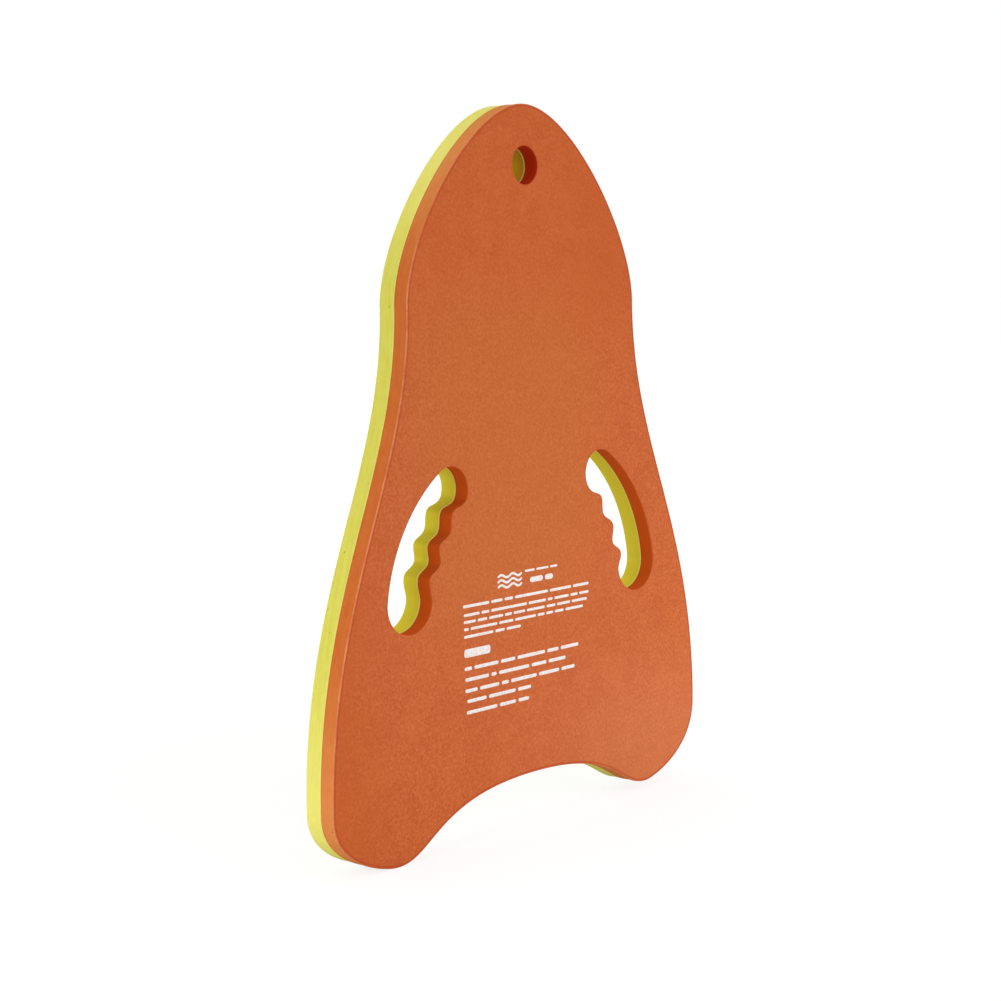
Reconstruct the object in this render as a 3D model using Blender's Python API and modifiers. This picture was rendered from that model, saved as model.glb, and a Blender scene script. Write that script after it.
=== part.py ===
"""Foam kickboard for swimming practice, standing on its tail.

Two flat sheets of closed-cell foam, a front one and a thicker back one, are
bonded face to face and die-cut together to one outline: a rounded nose, a
straight waist, a wide hip and an arched tail that leaves two lobes. A round
hole near the nose hangs the board up. A scalloped hand slot goes through the
board on each side, with its finger grips on the inner edge.

Units are metres. +X is to the right seen from the front, +Z runs up the board
from tail to nose, and the front face looks along -Y. The origin is at the
bottom centre: midway between the hips, midway through the thickness, and on
the level of the lower lobe's lowest point.
"""

import math

import bmesh
import bpy

MM = 0.001

# ------------------------------------------------------- thickness and edges
BOARD_THICKNESS = 23.1 * MM      # both sheets and the bond between them
FRONT_SHARE = 10.5 * MM          # front face to the middle of the bond
FILM_THICKNESS = 0.3 * MM        # adhesive film
FILM_GAP = 0.3 * MM              # clearance between a sheet and the film
EDGE_ROUNDING = 0.8 * MM         # soft arris on the two outside faces
EDGE_SEGMENTS = 2

FRONT_FACE_Y = -BOARD_THICKNESS / 2
BACK_FACE_Y = BOARD_THICKNESS / 2
BOND_Y = FRONT_FACE_Y + FRONT_SHARE
FILM_FRONT_Y = BOND_Y - FILM_THICKNESS / 2
FILM_BACK_Y = BOND_Y + FILM_THICKNESS / 2

# ------------------------------------------------------- outline dimensions
# The outline is drawn as (x, z) from a datum on the nose's middle line,
# between the levels of the two lobes. A reach is the length of a tangent handle.
NOSE_Z = 450.0 * MM
NOSE_REACH = 46.0 * MM
WAIST_HALF_WIDTH = 105.5 * MM
WAIST_Z = 328.0 * MM
WAIST_REACH_UP = 43.0 * MM
WAIST_REACH_DOWN = 98.0 * MM
ARCH_Z = 31.6 * MM               # top of the tail arch
OUTLINE_STEPS = 26               # points between two knots

# The two corners of the tail differ by a few millimetres. Each is given as if
# it were on the +X side: its two knots, and the reach of their handles.
RIGHT_TAIL = {
    "hip": (170.3 * MM, 51.6 * MM), "hip_up": 126.1 * MM, "hip_down": 38.8 * MM,
    "lobe": (116.8 * MM, 2.8 * MM), "lobe_out": 5.6 * MM, "lobe_in": 30.1 * MM,
    "arch_reach": 86.8 * MM,
}
LEFT_TAIL = {
    "hip": (173.4 * MM, 37.3 * MM), "hip_up": 132.7 * MM, "hip_down": 29.3 * MM,
    "lobe": (121.1 * MM, -2.2 * MM), "lobe_out": 11.1 * MM, "lobe_in": 30.5 * MM,
    "arch_reach": 89.0 * MM,
}

# The datum's place in the part's frame: this centres the hips on x = 0 and
# brings the lower lobe to z = 0.
DATUM_X = (LEFT_TAIL["hip"][0] - RIGHT_TAIL["hip"][0]) / 2
DATUM_Z = -min(RIGHT_TAIL["lobe"][1], LEFT_TAIL["lobe"][1])

# -------------------------------------------------- hanging hole dimensions
HOLE_DIAMETER = 23.3 * MM
HOLE_BELOW_NOSE = 37.3 * MM      # nose to the hole's centre
HOLE_STEPS = 14                  # points in a quarter turn

# ----------------------------------------------------- hand slot dimensions
# Given for the +X side, from the outline's datum. The ends are round, the outer
# edge is one arc and the inner edge is an arc that carries the finger ridges.
SLOT_TOP_CENTRE = (71.0 * MM, 217.4 * MM)
SLOT_TOP_RADIUS = 15.0 * MM
SLOT_BOTTOM_CENTRE = (107.2 * MM, 154.0 * MM)
SLOT_BOTTOM_RADIUS = 18.6 * MM
SLOT_OUTER_RADIUS = 105.0 * MM
SLOT_INNER_RADIUS = 106.0 * MM
TOP_FINGER_TURN = math.radians(17.0)   # how far the top round runs below level
ARC_STEP = 2.4 * MM                    # point spacing along arcs
RIDGE_STEP = 1.6 * MM                  # point spacing along the finger ridges

# Finger grips. "ridges" lists the valleys and crests between the fingers, as
# (way along the inner arc from the bottom round, height into the slot). The
# flank runs from the last crest to the top round, and its two reaches are the
# handles at those ends. The two slots are a few millimetres out of step.
RIGHT_GRIP = {
    "ridges": ((0.0, 0.0), (10.6 * MM, 5.2 * MM), (20.4 * MM, -0.4 * MM),
               (31.0 * MM, 4.8 * MM), (42.2 * MM, 0.1 * MM), (53.0 * MM, 5.2 * MM)),
    "crest_reach": 4.0 * MM, "round_reach": 10.0 * MM,
}
LEFT_GRIP = {
    "ridges": ((0.0, 0.0), (14.4 * MM, 5.0 * MM), (24.8 * MM, -0.6 * MM),
               (35.0 * MM, 4.2 * MM), (45.0 * MM, 0.2 * MM), (57.0 * MM, 5.3 * MM)),
    "crest_reach": 4.0 * MM, "round_reach": 6.5 * MM,
}

# ------------------------------------------------------------- mesh settings
MERGE_DISTANCE = 1e-6                  # joins the curve's faces to its walls
SHARP_ANGLE = math.radians(30)         # edges steeper than this shade sharp
FACE_NORMAL_LIMIT = 0.9                # a flat face's normal exceeds this
ORIGIN_DISPLAY_SIZE = 0.05


# -------------------------------------------------------------------- outline
# A Bezier knot is (point, handle before, handle after), each one (x, z).
def upright_knot(x, z, reach_up, reach_down):
    """A knot where the outline runs straight down."""
    return (x, z), (x, z + reach_up), (x, z - reach_down)


def level_knot(x, z, reach_right, reach_left):
    """A knot where the outline runs straight towards -X."""
    return (x, z), (x + reach_right, z), (x - reach_left, z)


def half_outline(tail):
    """The knots of one half from waist to lobe, as if it were the +X half."""
    return [
        upright_knot(WAIST_HALF_WIDTH, WAIST_Z, WAIST_REACH_UP, WAIST_REACH_DOWN),
        upright_knot(*tail["hip"], tail["hip_up"], tail["hip_down"]),
        level_knot(*tail["lobe"], tail["lobe_out"], tail["lobe_in"]),
    ]


def mirrored_points(points):
    return [(-x, z) for x, z in points]


def mirrored_knot(knot):
    """A knot on the other side, with its handles swapped to keep the turn."""
    point, before, after = mirrored_points(knot)
    return point, after, before


def outline_knots():
    """The closed outline, clockwise from the nose seen from the front."""
    nose = ((0.0, NOSE_Z), (-NOSE_REACH, NOSE_Z), (NOSE_REACH, NOSE_Z))
    arch = level_knot(0.0, ARCH_Z, RIGHT_TAIL["arch_reach"], LEFT_TAIL["arch_reach"])
    left_half = [mirrored_knot(knot) for knot in reversed(half_outline(LEFT_TAIL))]
    return [nose] + half_outline(RIGHT_TAIL) + [arch] + left_half


def circle_knots(centre, radius):
    """A circle as four Bezier knots."""
    reach = radius * 4 / 3 * math.tan(math.pi / 8)  # best fit to a quarter turn
    knots = []
    for quarter in range(4):
        angle = quarter * math.pi / 2
        point = polar(centre, radius, angle)
        along = (-math.sin(angle), math.cos(angle))
        before = tuple(p - reach * t for p, t in zip(point, along))
        after = tuple(p + reach * t for p, t in zip(point, along))
        knots.append((point, before, after))
    return knots


# ------------------------------------------------------------ plane geometry
def polar(centre, radius, angle):
    return centre[0] + radius * math.cos(angle), centre[1] + radius * math.sin(angle)


def direction(centre, point):
    return math.atan2(point[1] - centre[1], point[0] - centre[0])


def inner_centre(first, first_distance, second, second_distance):
    """The point at these distances from two centres. With the upper centre
    first, it lies on the side nearer the board's middle."""
    span_x, span_z = second[0] - first[0], second[1] - first[1]
    span = math.hypot(span_x, span_z)
    unit_x, unit_z = span_x / span, span_z / span
    along = (first_distance ** 2 - second_distance ** 2 + span ** 2) / (2 * span)
    aside = math.sqrt(first_distance ** 2 - along ** 2)
    return (first[0] + along * unit_x + aside * unit_z,
            first[1] + along * unit_z - aside * unit_x)


def clockwise_arc(centre, radius, start, end):
    """Points along an arc that turns clockwise, without its last point."""
    while end > start:
        end -= 2 * math.pi
    count = max(2, round((start - end) * radius / ARC_STEP))
    return [polar(centre, radius, start + (end - start) * i / count) for i in range(count)]


def bezier_points(start, start_handle, end_handle, end, count):
    """Points along a cubic Bezier segment, without its last point."""
    controls = (start, start_handle, end_handle, end)
    points = []
    for i in range(count):
        t = i / count
        weights = ((1 - t) ** 3, 3 * t * (1 - t) ** 2, 3 * t * t * (1 - t), t ** 3)
        points.append(tuple(
            sum(weight * control[axis] for weight, control in zip(weights, controls))
            for axis in (0, 1)
        ))
    return points


# ------------------------------------------------------------------ hand slot
def ridge_height(ridges, run):
    """How far the inner edge stands into the slot, this far along it. Valleys
    and crests are joined by half cosine waves."""
    for (start, start_height), (end, end_height) in zip(ridges, ridges[1:]):
        if run <= end:
            blend = (1 - math.cos(math.pi * (run - start) / (end - start))) / 2
            return start_height + (end_height - start_height) * blend
    return ridges[-1][1]


def finger_edge(grip, inner, inner_start):
    """The inner edge from the bottom round over the ridges and down the flank
    to the top round, without its last point. inner is the inner arc's centre."""
    ridges = grip["ridges"]

    def edge_point(run):
        return polar(inner, SLOT_INNER_RADIUS + ridge_height(ridges, run),
                     inner_start + run / SLOT_INNER_RADIUS)

    length = ridges[-1][0]
    count = round(length / RIDGE_STEP)
    points = [edge_point(length * i / count) for i in range(count)]

    crest = edge_point(length)
    crest_heading = inner_start + length / SLOT_INNER_RADIUS + math.pi / 2
    landing_angle = math.pi + TOP_FINGER_TURN
    landing = polar(SLOT_TOP_CENTRE, SLOT_TOP_RADIUS, landing_angle)
    return points + bezier_points(
        crest,
        polar(crest, grip["crest_reach"], crest_heading),
        polar(landing, grip["round_reach"], landing_angle + math.pi / 2),
        landing,
        round(math.dist(crest, landing) / RIDGE_STEP),
    )


def slot_points(grip):
    """A hand slot on the +X side as a closed polygon, clockwise from its top."""
    top, bottom = SLOT_TOP_CENTRE, SLOT_BOTTOM_CENTRE

    # The outer arc holds both rounds inside it, so it meets them smoothly.
    outer = inner_centre(top, SLOT_OUTER_RADIUS - SLOT_TOP_RADIUS,
                         bottom, SLOT_OUTER_RADIUS - SLOT_BOTTOM_RADIUS)
    outer_start, outer_end = direction(outer, top), direction(outer, bottom)

    # The inner arc touches both rounds from outside them. The finger valleys lie
    # near it and the crests stand into the slot.
    inner = inner_centre(top, SLOT_INNER_RADIUS + SLOT_TOP_RADIUS,
                         bottom, SLOT_INNER_RADIUS + SLOT_BOTTOM_RADIUS)

    return (
        clockwise_arc(outer, SLOT_OUTER_RADIUS, outer_start, outer_end)
        + clockwise_arc(bottom, SLOT_BOTTOM_RADIUS, outer_end, direction(bottom, inner))
        + finger_edge(grip, inner, direction(inner, bottom))
        + clockwise_arc(top, SLOT_TOP_RADIUS, math.pi + TOP_FINGER_TURN, outer_start)
    )


# ------------------------------------------------------------------ materials
def matt_material(name, colour, roughness):
    material = bpy.data.materials.new(name)
    material.use_nodes = True
    shader = material.node_tree.nodes["Principled BSDF"]
    shader.inputs["Base Color"].default_value = (*colour, 1.0)
    shader.inputs["Roughness"].default_value = roughness
    shader.inputs["Metallic"].default_value = 0.0
    material.diffuse_color = (*colour, 1.0)
    return material


def orange_foam():
    return matt_material("orange_foam", colour=(0.57, 0.118, 0.033), roughness=0.80)


def yellow_foam():
    return matt_material("yellow_foam", colour=(0.74, 0.71, 0.150), roughness=0.78)


def clear_adhesive():
    return matt_material("clear_adhesive", colour=(0.62, 0.42, 0.16), roughness=0.55)


# --------------------------------------------------------------- sheet blanks
def add_bezier(curve, knots, steps):
    spline = curve.splines.new("BEZIER")
    spline.bezier_points.add(len(knots) - 1)
    for knot, (point, before, after) in zip(spline.bezier_points, knots):
        knot.handle_left_type = knot.handle_right_type = "FREE"
        knot.co = (*point, 0.0)
        knot.handle_left = (*before, 0.0)
        knot.handle_right = (*after, 0.0)
    spline.use_cyclic_u = True
    spline.resolution_u = steps


def add_polygon(curve, points):
    spline = curve.splines.new("POLY")
    spline.points.add(len(points) - 1)
    for corner, point in zip(spline.points, points):
        corner.co = (*point, 0.0, 1.0)
    spline.use_cyclic_u = True


def board_curve(name, thickness):
    """The outline with its hole and both slots, as a filled, extruded curve."""
    curve = bpy.data.curves.new(name, "CURVE")
    curve.dimensions = "2D"
    curve.fill_mode = "BOTH"
    curve.extrude = thickness / 2
    hole_centre = (0.0, NOSE_Z - HOLE_BELOW_NOSE)
    add_bezier(curve, outline_knots(), OUTLINE_STEPS)
    add_bezier(curve, circle_knots(hole_centre, HOLE_DIAMETER / 2), HOLE_STEPS)
    add_polygon(curve, slot_points(RIGHT_GRIP))
    add_polygon(curve, mirrored_points(reversed(slot_points(LEFT_GRIP))))
    return curve


def close_mesh(mesh):
    """Join the flat faces to the walls and turn all normals outwards."""
    work = bmesh.new()
    work.from_mesh(mesh)
    bmesh.ops.remove_doubles(work, verts=work.verts, dist=MERGE_DISTANCE)
    bmesh.ops.recalc_face_normals(work, faces=work.faces)
    work.to_mesh(mesh)
    work.free()


def board_blank(name, near_y, far_y, material, target):
    """A flat sheet in the board's outline, from near_y to far_y."""
    curve = board_curve(name, far_y - near_y)
    drawn = bpy.data.objects.new(name + "_outline", curve)
    drawn.location = (DATUM_X, (near_y + far_y) / 2, DATUM_Z)
    drawn.rotation_euler = (math.pi / 2, 0.0, 0.0)  # the outline's plane stands up
    target.objects.link(drawn)
    bpy.context.view_layer.update()

    graph = bpy.context.evaluated_depsgraph_get()
    mesh = bpy.data.meshes.new_from_object(drawn.evaluated_get(graph))
    mesh.name = name
    sheet = bpy.data.objects.new(name, mesh)
    sheet.matrix_world = drawn.matrix_world
    target.objects.link(sheet)
    bpy.data.objects.remove(drawn)
    bpy.data.curves.remove(curve)

    close_mesh(mesh)
    mesh.materials.clear()
    mesh.materials.append(material)
    mesh.shade_smooth()
    mesh.set_sharp_from_angle(angle=SHARP_ANGLE)
    return sheet


def round_face_edges(sheet, side):
    """A soft arris round one face of a sheet: side -1 is the face that looks
    along -Y, +1 the one that looks along +Y."""
    mesh = sheet.data
    weight = mesh.attributes.new("bevel_weight_edge", "FLOAT", "EDGE")
    edge_normals = {}
    for polygon in mesh.polygons:
        for key in polygon.edge_keys:
            edge_normals.setdefault(key, []).append(polygon.normal.z)
    for edge in mesh.edges:
        # The sheet's local +Z looks along the board's -Y. An edge of the face
        # has that face on one side and a wall on the other.
        on_face = [-side * z > FACE_NORMAL_LIMIT for z in edge_normals[edge.key]]
        weight.data[edge.index].value = 1.0 if sorted(on_face) == [False, True] else 0.0

    bevel = sheet.modifiers.new("soft_arris", "BEVEL")
    bevel.limit_method = "WEIGHT"
    bevel.width = EDGE_ROUNDING
    bevel.segments = EDGE_SEGMENTS
    bevel.use_clamp_overlap = False
    bevel.harden_normals = False


# --------------------------------------------------------------------- pieces
def front_sheet(target):
    sheet = board_blank("front_foam_sheet", FRONT_FACE_Y, FILM_FRONT_Y - FILM_GAP,
                        orange_foam(), target)
    round_face_edges(sheet, side=-1)
    return sheet


def bond_film(target):
    return board_blank("bond_film", FILM_FRONT_Y, FILM_BACK_Y, clear_adhesive(), target)


def back_sheet(target):
    sheet = board_blank("back_foam_sheet", FILM_BACK_Y + FILM_GAP, BACK_FACE_Y,
                        yellow_foam(), target)
    round_face_edges(sheet, side=+1)
    return sheet


def board_origin(target):
    origin = bpy.data.objects.new("board_origin", None)
    origin.empty_display_size = ORIGIN_DISPLAY_SIZE
    target.objects.link(origin)
    return origin


def main():
    for old in list(bpy.data.objects):
        bpy.data.objects.remove(old, do_unlink=True)

    board = bpy.data.collections.new("kickboard_float")
    bpy.context.scene.collection.children.link(board)

    origin = board_origin(board)
    for build in (front_sheet, bond_film, back_sheet):
        build(board).parent = origin


main()
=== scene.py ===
# Looks of a foam kickboard: an orange front sheet glued to a yellow back sheet.
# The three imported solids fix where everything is. This script lays a finer
# surface over each: soft arrises round both faces, faintly wavy walls, a thin
# glue line between the sheets and a printed block on the front face.
#
# Metres. The front face looks along -Y, +X is to the right seen from the front
# and +Z runs from tail to nose. Outlines are (x, z) points.
import math
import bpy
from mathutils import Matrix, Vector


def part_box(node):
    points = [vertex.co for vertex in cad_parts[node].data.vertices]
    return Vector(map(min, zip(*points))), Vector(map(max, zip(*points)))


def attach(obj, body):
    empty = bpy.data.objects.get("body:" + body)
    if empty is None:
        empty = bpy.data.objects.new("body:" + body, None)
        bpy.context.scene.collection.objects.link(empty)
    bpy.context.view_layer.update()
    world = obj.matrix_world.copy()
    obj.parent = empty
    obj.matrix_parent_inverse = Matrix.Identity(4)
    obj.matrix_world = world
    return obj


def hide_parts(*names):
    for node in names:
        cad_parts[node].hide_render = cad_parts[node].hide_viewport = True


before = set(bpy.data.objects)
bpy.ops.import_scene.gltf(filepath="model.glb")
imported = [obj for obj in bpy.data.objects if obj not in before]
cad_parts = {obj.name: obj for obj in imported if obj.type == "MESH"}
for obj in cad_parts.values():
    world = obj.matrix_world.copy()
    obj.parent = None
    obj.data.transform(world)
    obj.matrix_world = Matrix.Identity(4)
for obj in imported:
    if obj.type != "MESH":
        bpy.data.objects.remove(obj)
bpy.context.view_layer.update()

from types import SimpleNamespace

import bpy
import numpy as np
from mathutils import Matrix, Vector, geometry, kdtree

MM = 0.001
FRONT_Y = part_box("front_foam_sheet")[0].y
BACK_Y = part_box("back_foam_sheet")[1].y
FILM_LOW, FILM_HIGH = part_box("bond_film")
BOND_Y = (FILM_LOW.y + FILM_HIGH.y) / 2

# ---------------------------------------------------------- board in the plane
# The same outline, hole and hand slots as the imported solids.
DATUM = (1.55 * MM, 2.2 * MM)   # where the outline's own datum lies in the frame
NOSE_Z = 450.0 * MM
NOSE_REACH = 46.0 * MM          # a reach is the length of a Bezier handle
ARCH_Z = 31.6 * MM              # top of the hollow between the tail's two lobes
# Upright knots are x, z, reach up, reach down.
# Lobes are x, z, reach outwards, reach inwards.
WAIST = (105.5 * MM, 328.0 * MM, 43.0 * MM, 98.0 * MM)
RIGHT_TAIL = {
    "hip": (170.3 * MM, 51.6 * MM, 126.1 * MM, 38.8 * MM),
    "lobe": (116.8 * MM, 2.8 * MM, 5.6 * MM, 30.1 * MM),
    "arch_reach": 86.8 * MM,
}
LEFT_TAIL = {
    "hip": (173.4 * MM, 37.3 * MM, 132.7 * MM, 29.3 * MM),
    "lobe": (121.1 * MM, -2.2 * MM, 11.1 * MM, 30.5 * MM),
    "arch_reach": 89.0 * MM,
}

HOLE_DIAMETER = 23.3 * MM
HOLE_BELOW_NOSE = 37.3 * MM

SLOT_TOP_CENTRE = (71.0 * MM, 217.4 * MM)
SLOT_TOP_RADIUS = 15.0 * MM
SLOT_BOTTOM_CENTRE = (107.2 * MM, 154.0 * MM)
SLOT_BOTTOM_RADIUS = 18.6 * MM
SLOT_OUTER_RADIUS = 105.0 * MM
SLOT_INNER_RADIUS = 106.0 * MM
TOP_FINGER_TURN = math.radians(17.0)
# A grip is the wavy inner edge of a slot, as (run up the inner arc, height off
# it). A flank is the two Bezier reaches from the last crest to the slot's top.
RIGHT_GRIP = ((0.0, 0.0), (10.6 * MM, 5.2 * MM), (20.4 * MM, -0.4 * MM),
              (31.0 * MM, 4.8 * MM), (42.2 * MM, 0.1 * MM), (53.0 * MM, 5.2 * MM))
RIGHT_FLANK = (4.0 * MM, 10.0 * MM)
LEFT_GRIP = ((0.0, 0.0), (14.4 * MM, 5.0 * MM), (24.8 * MM, -0.6 * MM),
             (35.0 * MM, 4.2 * MM), (45.0 * MM, 0.2 * MM), (57.0 * MM, 5.3 * MM))
LEFT_FLANK = (4.0 * MM, 6.5 * MM)

# Surface
OUTLINE_STEP = 1.35 * MM        # point spacing round the outline
CUTOUT_STEP = 0.85 * MM         # and round the slots and the hole
SLOT_DRAFT_STEP = 0.15 * MM     # spacing of a slot's points before they are evened out
FACE_STEP = 2.0 * MM            # spacing of the points on an outside face
HIDDEN_STEP = 4.5 * MM          # and on a bonded face
ARRIS = 0.95 * MM               # rounding of the outside faces' edges
BOND_ARRIS = 0.12 * MM          # rounding of the bonded faces' edges
FACE_BLEND = 2.6 * MM           # run from the arris to the face's full depth
DEEP_RIM = 10 * MM              # "rim" value of every point well inside a face
GLUE_LINE = 0.16 * MM           # thickness of adhesive that shows
GLUE_CLEARANCE = 0.005 * MM     # between the adhesive and each sheet
GLUE_RECESS = 0.10 * MM
GLUE_BULGE = 0.06 * MM
WALL_BOW = 0.16 * MM            # a wall is hollow by this much
FACE_DEPTH = 0.055 * MM         # the faces' mean level below the outer plane
FRONT_SEED = 11                 # unevenness of the front sheet, and of the print on it
BACK_SEED = 57
GLUE_SEED = 400


def upright_knot(x, z, reach_up, reach_down):
    return (x, z), (x, z + reach_up), (x, z - reach_down)


def half_outline(tail):
    x, z, reach_out, reach_in = tail["lobe"]
    return [upright_knot(*WAIST), upright_knot(*tail["hip"]),
            ((x, z), (x + reach_out, z), (x - reach_in, z))]


def outline_knots():
    """Closed Bezier outline as (point, handle before, handle after)."""
    nose = ((0.0, NOSE_Z), (-NOSE_REACH, NOSE_Z), (NOSE_REACH, NOSE_Z))
    arch = ((0.0, ARCH_Z), (RIGHT_TAIL["arch_reach"], ARCH_Z), (-LEFT_TAIL["arch_reach"], ARCH_Z))

    def mirrored(knot):
        point, before, after = ((-x, z) for x, z in knot)
        return point, after, before

    return ([nose] + half_outline(RIGHT_TAIL) + [arch]
            + [mirrored(knot) for knot in reversed(half_outline(LEFT_TAIL))])


def arc_centre(first, first_distance, second, second_distance):
    """The point at these distances from two others, to the right of the way
    from the first to the second."""
    dx, dz = second[0] - first[0], second[1] - first[1]
    span = math.hypot(dx, dz)
    way_x, way_z = dx / span, dz / span
    along = (first_distance ** 2 - second_distance ** 2 + span ** 2) / (2 * span)
    aside = math.sqrt(first_distance ** 2 - along ** 2)
    return first[0] + along * way_x + aside * way_z, first[1] + along * way_z - aside * way_x


def direction(centre, point):
    return math.atan2(point[1] - centre[1], point[0] - centre[0])


def polar(centre, radius, angle):
    return centre[0] + radius * math.cos(angle), centre[1] + radius * math.sin(angle)


def clockwise_arc(centre, radius, start, end, step):
    while end > start:
        end -= 2 * math.pi
    count = max(2, round((start - end) * radius / step))
    return [polar(centre, radius, start + (end - start) * i / count) for i in range(count)]


def bezier_points(start, start_handle, end_handle, end, count):
    """Points along a cubic Bezier, without its end."""
    controls = (start, start_handle, end_handle, end)
    found = []
    for i in range(count):
        t = i / count
        weights = ((1 - t) ** 3, 3 * t * (1 - t) ** 2, 3 * t * t * (1 - t), t ** 3)
        found.append(tuple(sum(weight * control[axis]
                               for weight, control in zip(weights, controls))
                           for axis in (0, 1)))
    return found


def grip_height(grip, run):
    for (start, low), (end, high) in zip(grip, grip[1:]):
        if run <= end:
            return low + (high - low) * (1 - math.cos(math.pi * (run - start) / (end - start))) / 2
    return grip[-1][1]


def slot_points(grip, flank):
    """A hand slot on the +X side, clockwise from its top."""
    top, bottom, step = SLOT_TOP_CENTRE, SLOT_BOTTOM_CENTRE, SLOT_DRAFT_STEP
    outer = arc_centre(top, SLOT_OUTER_RADIUS - SLOT_TOP_RADIUS,
                       bottom, SLOT_OUTER_RADIUS - SLOT_BOTTOM_RADIUS)
    inner = arc_centre(top, SLOT_INNER_RADIUS + SLOT_TOP_RADIUS,
                       bottom, SLOT_INNER_RADIUS + SLOT_BOTTOM_RADIUS)
    outer_start, outer_end = direction(outer, top), direction(outer, bottom)
    inner_start = direction(inner, bottom)
    points = clockwise_arc(outer, SLOT_OUTER_RADIUS, outer_start, outer_end, step)
    points += clockwise_arc(bottom, SLOT_BOTTOM_RADIUS, outer_end,
                            direction(bottom, inner), step)

    def edge(run):
        return polar(inner, SLOT_INNER_RADIUS + grip_height(grip, run),
                     inner_start + run / SLOT_INNER_RADIUS)

    last = grip[-1][0]
    count = round(last / step)
    points += [edge(last * i / count) for i in range(count)]
    crest = edge(last)
    heading = inner_start + last / SLOT_INNER_RADIUS + math.pi / 2
    turn = math.pi + TOP_FINGER_TURN
    landing = polar(top, SLOT_TOP_RADIUS, turn)
    points += bezier_points(crest, polar(crest, flank[0], heading),
                            polar(landing, flank[1], turn + math.pi / 2),
                            landing, round(math.dist(crest, landing) / step))
    points += clockwise_arc(top, SLOT_TOP_RADIUS, turn, outer_start, step)
    return points


class Loop:
    """A closed edge, evenly spaced, counter-clockwise seen from the front, with
    normals that point out of the material. Shelter is how enclosed the wall is:
    0 for an outer edge, more for a cutout's."""

    def __init__(self, points, step, shelter=0.0, least=0):
        points = np.array(points)
        x, z = points.T
        if np.sum(x * np.roll(z, -1) - z * np.roll(x, -1)) < 0:
            points = points[::-1]
        closed = np.vstack([points, points[:1]])
        run = np.r_[0, np.cumsum(np.hypot(*np.diff(closed, axis=0).T))]
        self.length = run[-1]
        self.count = max(least, int(round(self.length / step)))
        self.run = np.linspace(0, self.length, self.count, endpoint=False)
        self.points = np.c_[np.interp(self.run, run, closed[:, 0]),
                            np.interp(self.run, run, closed[:, 1])]
        along = np.roll(self.points, -1, axis=0) - np.roll(self.points, 1, axis=0)
        along /= np.linalg.norm(along, axis=1)[:, None]
        self.shelter = shelter
        self.is_hole = shelter > 0
        self.normals = np.c_[along[:, 1], -along[:, 0]] * (-1 if self.is_hole else 1)

    def inset(self, distance):
        """The loop moved into the material, by one distance or one for each point."""
        return self.points - self.normals * np.reshape(distance, (-1, 1))

    def turn(self):
        """Each point's place on a ring of the loop's own length, so that a
        pattern along the edge has no seam."""
        angle = 2 * math.pi * self.run / self.length
        return np.c_[np.cos(angle), np.sin(angle)] * self.length / (2 * math.pi)


def board_loops():
    knots = outline_knots()
    outline = []
    for here, there in zip(knots, knots[1:] + knots[:1]):
        outline += bezier_points(here[0], here[2], there[1], there[0], 500)
    right_slot = slot_points(RIGHT_GRIP, RIGHT_FLANK)
    left_slot = [(-x, z) for x, z in slot_points(LEFT_GRIP, LEFT_FLANK)]
    hole = [polar((0.0, NOSE_Z - HOLE_BELOW_NOSE), HOLE_DIAMETER / 2,
                  2 * math.pi * i / 720) for i in range(720)]
    return [
        Loop(outline, OUTLINE_STEP),
        Loop(right_slot, CUTOUT_STEP, shelter=0.5),
        Loop(left_slot, CUTOUT_STEP, shelter=0.5),
        Loop(hole, CUTOUT_STEP, shelter=1.0),
    ]


LOOPS = board_loops()


# ------------------------------------------------------------ gentle unevenness
def lattice_noise(x, z, cell, seed):
    """Smooth noise from -1 to 1 over the plane, with features about a cell wide."""
    values = np.random.default_rng(seed).uniform(-1, 1, (128, 128))
    across, up = np.asarray(x) / cell + 64.0, np.asarray(z) / cell + 16.0
    column, row = np.floor(across).astype(int), np.floor(up).astype(int)
    across, up = across - column, up - row
    across, up = across * across * (3 - 2 * across), up * up * (3 - 2 * up)
    column, row = column % 127, row % 127
    low = values[column, row] * (1 - across) + values[column + 1, row] * across
    high = values[column, row + 1] * (1 - across) + values[column + 1, row + 1] * across
    return low * (1 - up) + high * up


def face_depth(points, seed):
    """How far the foam's skin lies below the outer plane, away from the edges."""
    x, z = points.T
    return FACE_DEPTH + 0.018 * MM * lattice_noise(x, z, cell=31 * MM, seed=seed) \
        + 0.012 * MM * lattice_noise(z, x, cell=13 * MM, seed=seed + 1) \
        + 0.006 * MM * lattice_noise(x, z, cell=6 * MM, seed=seed + 2)


def edge_waver(loop, seed):
    """Slow wander of a wall along its length, never outwards."""
    x, z = loop.turn().T
    wander = lattice_noise(x, z, cell=24 * MM, seed=seed) * 0.6 \
        + lattice_noise(x, z, cell=9 * MM, seed=seed + 1) * 0.4
    return 0.05 * MM * (1 + wander)


# ---------------------------------------------------------------- mesh building
def ring_edges(count, first=0):
    return [(first + i, first + (i + 1) % count) for i in range(count)]


def triangulate(points, edges, tolerance):
    """Triangles over these points, by the numbers the points came in with."""
    made = geometry.delaunay_2d_cdt([Vector(point) for point in points], edges, [], 0,
                                    tolerance, True)
    origin = [sources[0] for sources in made[3]]
    return np.array([[origin[corner] for corner in face] for face in made[2]])


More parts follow.
